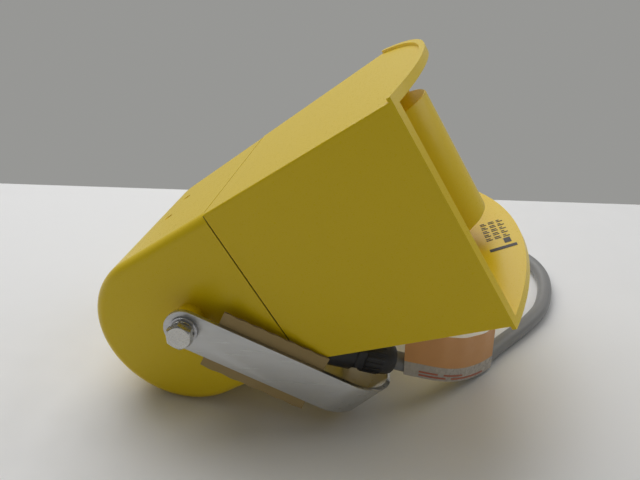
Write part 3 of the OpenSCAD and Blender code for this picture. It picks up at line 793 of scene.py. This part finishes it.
def makeGland():
    yaw, dip = math.radians(gland["yaw"]), math.radians(gland["dip"])
    axis = Vector((math.cos(dip) * math.cos(yaw), math.cos(dip) * math.sin(yaw), -math.sin(dip)))
    base = leadRoute[0] - axis * gland["length"]
    bore = lead["diameter"] / 2 + 0.00005
    dome = [(0.0066, 0.0086), (0.0066, 0.0094), (0.0070, 0.0098), (0.0180, 0.0098), (0.0187, 0.0096)]
    domeSteps = 8
    for k in range(1, domeSteps + 1):
        t = k / domeSteps * math.pi / 2
        dome.append((0.0187 + 0.0070 * math.sin(t), 0.0070 + 0.0026 * math.cos(t)))
    dome += [(0.0259, 0.0067), (0.0259, bore + 0.0004), (0.0256, bore), (0.0190, bore), (0.0178, 0.0086),
             (0.0066, 0.0086)]
    body = lathe("nut_body", dome, base, axis)
    ribs = runTree("ribs", ribTree(), {
        "Count": gland["ribs"], "Radius": gland["ribRadius"], "Rib Width": gland["ribWidth"],
        "Rib Depth": gland["ribDepth"], "Rib Length": gland["knurl"], "Material": finishes["black_nylon"]})
    ribs.data.transform(standing(base + axis * (gland["knurlStart"] + gland["knurl"] / 2), axis))
    bevelled(ribs, 0.0003, segments=2, angle=40)
    whole = joined("gland_cap", [body, ribs])
    shadeByAngle(whole, 35)
    place(whole, "horn", finishes["black_nylon"], "gland_nut")
    for node, name in (("gland_body", "gland_hex"), ("gland_adapter", "gland_socket")):
        piece = cadCopy(node, name)
        bevelled(piece, 0.0004, segments=2, angle=40)
        shadeByAngle(piece)
        place(piece, "horn", finishes["black_nylon"], node)


makeGland()
print("gland made")

# generic bars in place of print: one long bar, one block, and rows of short dashes
lip = {"back": 0.176, "slope": 10, "lift": 0.00005, "ink": 0.00012, "long": (0.1765, 0.1925, -0.0307, -0.0270),
       "block": (0.1865, 0.1905, -0.0235, -0.0165), "rows": 5, "rowStart": -0.0145, "rowStep": 0.0062,
       "dashStart": 0.1770, "dashStep": 0.0052, "dash": 0.0038, "short": (0.0028, 0.0034, 0.0020)}


def makeLipMarks():
    slope = math.radians(lip["slope"])
    ahead = (forward * math.cos(slope) - up * math.sin(slope)).normalized()
    square = left.cross(ahead)
    square = square if square.dot(up) > 0 else -square
    inside = -0.045 - (lip["back"] - shell["seam"]) * math.tan(slope) + 0.0028     # the lip's upper face
    origin = bodyPoint(lip["back"], 0, inside)
    scale = 1 / math.cos(slope)

    def bar(a0, a1, y0, y1):
        verts = []
        for h in (lip["lift"], lip["lift"] + lip["ink"]):
            for a, y in ((a0, y0), (a1, y0), (a1, y1), (a0, y1)):
                verts.append(origin + ahead * ((a - lip["back"]) * scale) + left * y + square * h)
        faces = [(3, 2, 1, 0), (4, 5, 6, 7), (0, 1, 5, 4), (1, 2, 6, 5), (2, 3, 7, 6), (3, 0, 4, 7)]
        return pieceFrom("mark", verts, faces, smooth=False)

    marks = [bar(*lip["long"]), bar(*lip["block"])]
    for row in range(lip["rows"]):
        y = lip["rowStart"] + row * lip["rowStep"]
        for k, short in enumerate(lip["short"]):
            a0 = lip["dashStart"] + k * lip["dashStep"]
            marks.append(bar(a0, a0 + lip["dash"], y, y + 0.0011))
            marks.append(bar(a0, a0 + short, y + 0.0024, y + 0.0035))
    place(joined("lip_marks", marks), "horn", finishes["print_black"], "lip_label")


makeLipMarks()
print("lip marks made")

screw = {"radius": 0.004, "high": 0.0026, "recess": 0.0012, "seat": 0.066, "side": 0.062,
         "low": -0.039, "top": 0.045, "shank": 0.00195, "length": 0.0192, "pitch": 0.0014}


def screwHead():
    steps = 32
    profile = [(0.0, 0.0), (0.0, screw["radius"] - 0.0002), (0.0003, screw["radius"])]
    for k in range(1, 7):
        t = k / 6 * math.pi / 2
        profile.append((0.0010 + (screw["high"] - 0.0011) * math.sin(t),
                        screw["radius"] * (0.55 + 0.45 * math.cos(t))))
    verts = [v for z, r in profile for v in circle(r, z, steps)]
    faces = bandFaces(len(profile), steps)
    top = len(verts)
    last = top - steps
    cross = []     # the cross recess, from its mouth down to its floor
    for k in range(steps):
        ang = 2 * math.pi * k / steps
        arm = abs(math.cos(2 * ang)) ** 6
        r = screw["radius"] * (0.13 + 0.34 * arm)
        cross.append(Vector((r * math.cos(ang), r * math.sin(ang), screw["high"] - 0.0001)))
    floor = [Vector((v.x * 0.6, v.y * 0.6, screw["high"] - screw["recess"])) for v in cross]
    verts += cross + floor
    for k in range(steps):
        n = (k + 1) % steps
        faces.append((last + k, last + n, top + n, top + k))
        faces.append((top + k, top + n, top + steps + n, top + steps + k))
    faces.append(tuple(top + steps + k for k in range(steps)))
    return pieceFrom("screw_pattern", verts, faces)


def makeSeamScrews():
    head = screwHead()
    head.data.transform(Matrix((up, -left, forward)).transposed().to_4x4())
    spots = [(y, c) for y in (-screw["side"], screw["side"]) for c in (screw["low"], screw["top"])]
    points = [bodyPoint(screw["seat"], y, c) for y, c in spots]
    start = pieceFrom("seam_screws", points, [])
    values = {"Part": head, "Material": finishes["plated_steel"]}
    heads = runTree("seam_screws", copiesTree(), values, start)
    bpy.data.objects.remove(head)
    back = screw["seat"] + 0.0002 - screw["length"]
    shanks = [threadedShank("shank", bodyPoint(back, y, c), forward, screw["shank"], screw["length"],
                            screw["pitch"], 16) for y, c in spots]
    whole = joined("seam_screws", [heads, *shanks])
    outwards(whole)
    shadeByAngle(whole)
    place(whole, "horn", finishes["plated_steel"], "housing_screws")


makeSeamScrews()
print("seam screws made")

inner = {
    "seam_gasket": "black_rubber", "driver_flange": "cast_alloy", "driver_screws": "plated_steel",
    "diaphragm": "resin_film", "voice_coil": "copper_wire", "top_plate": "plated_steel", "magnet": "ferrite",
    "yoke": "plated_steel", "circuit_board": "board_green", "board_standoffs": "brass",
    "board_screws": "plated_steel", "capacitors": "sleeve_blue", "transformer": "ferrite",
    "heat_sink": "aluminium_fin", "terminal_block": "moulded_blue", "trimmer_body": "moulded_blue",
    "trimmer_rotor": "moulded_white", "pivot_inserts": "brass", "gland_washer": "black_rubber",
    "gland_seal": "black_rubber", "inner_lead": "grey_sheath",
}
for node, finish in inner.items():
    cad[node].data.materials.clear()
    cad[node].data.materials.append(finishes[finish])
print("inner parts finished")

# behind and ahead are the backdrop's strength past the object and on the camera's side of it
studio = {"floor": (0.83, 0.83, 0.835), "world": (0.31, 0.31, 0.30), "behind": 1.0, "ahead": 0.48,
          "fade": 0.3, "tableBack": ((-2.0, 0.366), (2.0, 0.300)), "tableFront": -2.2, "lights": (
              ("over", (-0.45, 0.85, 1.45), (0.0, 0.0, 0.05), 2.0, 25),
              ("side", (1.2, 0.5, 1.0), (0.05, 0, 0.08), 1.0, 4))}


def makeStudio():
    mesh = bpy.data.meshes.new("floor")
    (x0, y0), (x1, y1) = studio["tableBack"]
    front = studio["tableFront"]
    mesh.from_pydata([(x0, front, 0), (x1, front, 0), (x1, y1, 0), (x0, y0, 0)], [], [(0, 1, 2, 3)])
    floor = objectFrom("floor", mesh)
    dark = tuple(0.97 * c for c in studio["floor"])
    floor.data.materials.append(surface("floor_paint", studio["floor"], dark, patch=3, grain=60,
                                        rough=(0.45, 0.6), bump=0.02))
    world = bpy.data.worlds.new("studio")
    world.use_nodes = True
    back = world.node_tree.nodes["Background"]
    back.inputs["Color"].default_value = (*studio["world"], 1)
    n, link = world.node_tree.nodes, world.node_tree.links.new
    coords = n.new("ShaderNodeTexCoord")
    split = n.new("ShaderNodeSeparateXYZ")
    fade = n.new("ShaderNodeMapRange")
    link(coords.outputs["Generated"], split.inputs["Vector"])
    link(split.outputs["Y"], fade.inputs["Value"])
    fade.inputs["From Min"].default_value = -studio["fade"]
    fade.inputs["From Max"].default_value = studio["fade"]
    fade.inputs["To Min"].default_value = studio["ahead"]
    fade.inputs["To Max"].default_value = studio["behind"]
    link(fade.outputs["Result"], back.inputs["Strength"])
    bpy.context.scene.world = world
    for name, spot, aim, size, power in studio["lights"]:
        light = bpy.data.lights.new(name, "AREA")
        light.size = size
        light.energy = power
        made = bpy.data.objects.new(name, light)
        made.location = spot
        made.rotation_euler = (Vector(aim) - Vector(spot)).to_track_quat("-Z", "Y").to_euler()
        bpy.context.scene.collection.objects.link(made)


makeStudio()
print("studio lit")
